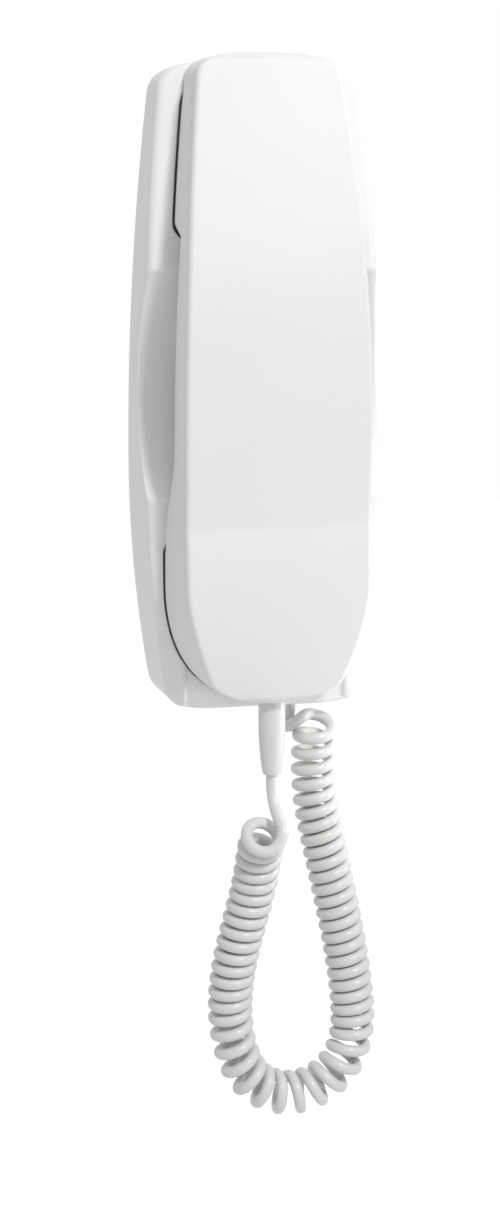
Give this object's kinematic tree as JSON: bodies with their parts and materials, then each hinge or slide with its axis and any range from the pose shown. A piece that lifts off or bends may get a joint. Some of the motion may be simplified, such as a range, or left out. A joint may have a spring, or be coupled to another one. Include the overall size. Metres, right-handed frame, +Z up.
{
  "type": "audio intercom handset",
  "caption": "Slim white wall intercom: a handset resting in a contoured cradle, joined by a curly cord that hangs in a loop; used to talk to a visitor and open the door.",
  "frame": {"origin": "on the wall plane, midway between the two wall screws", "axes": "+Z up, +Y into the wall, +X to the right as seen from the front; the front faces -Y"},
  "size_m": [0.0834, 0.0482, 0.3602],
  "materials": {
    "white_plastic": "smooth moulded white plastic",
    "off_white_plastic": "plain moulded off-white plastic",
    "black_plastic": "moulded black plastic",
    "screw_steel": "zinc-plated steel",
    "circuit_board": "green solder resist",
    "cord_jacket": "smooth white cord jacket",
    "soft_rubber": "soft black rubber"
  },
  "bodies": {
    "base": {"wall_plate": "off_white_plastic", "base_cover": "white_plastic", "cover_screws": "screw_steel", "main_board": "circuit_board", "board_screws": "screw_steel", "terminal_block": "black_plastic", "terminal_screws": "screw_steel", "call_sounder": "black_plastic", "line_chip": "black_plastic", "board_capacitors": "black_plastic", "hook_switch": "black_plastic", "hook_spring": "screw_steel", "door_switch": "black_plastic", "cord_gland": "off_white_plastic", "curly_cord": "cord_jacket"},
    "handset": {"handset_front": "white_plastic", "handset_back": "white_plastic", "handset_screws": "screw_steel", "balance_weight": "screw_steel", "receiver_capsule": "off_white_plastic", "receiver_gasket": "soft_rubber", "microphone_capsule": "screw_steel", "microphone_boot": "soft_rubber", "cord_sleeve": "cord_jacket"},
    "hook": {"hook_plunger": "white_plastic"},
    "button": {"door_button": "off_white_plastic", "door_switch_stem": "off_white_plastic"}
  },
  "joints": [
    {"name": "handset_lift", "type": "slide", "parent": "base", "child": "handset", "axis": [0, -1, 0], "range_m": [0, 0.06], "deforming": ["curly_cord"]},
    {"name": "hook_rise", "type": "slide", "parent": "base", "child": "hook", "axis": [0, -1, 0], "range_m": [0, 0.004], "deforming": ["hook_spring"]},
    {"name": "door_button_press", "type": "slide", "parent": "base", "child": "button", "axis": [0, 1, 0], "range_m": [0, 0.0012], "stiffness_N_per_m": 800, "springref_m": -0.002}
  ],
  "couplings": [
    {"joint": "hook_rise", "follows": "handset_lift", "ratio": 0.066667}
  ]
}
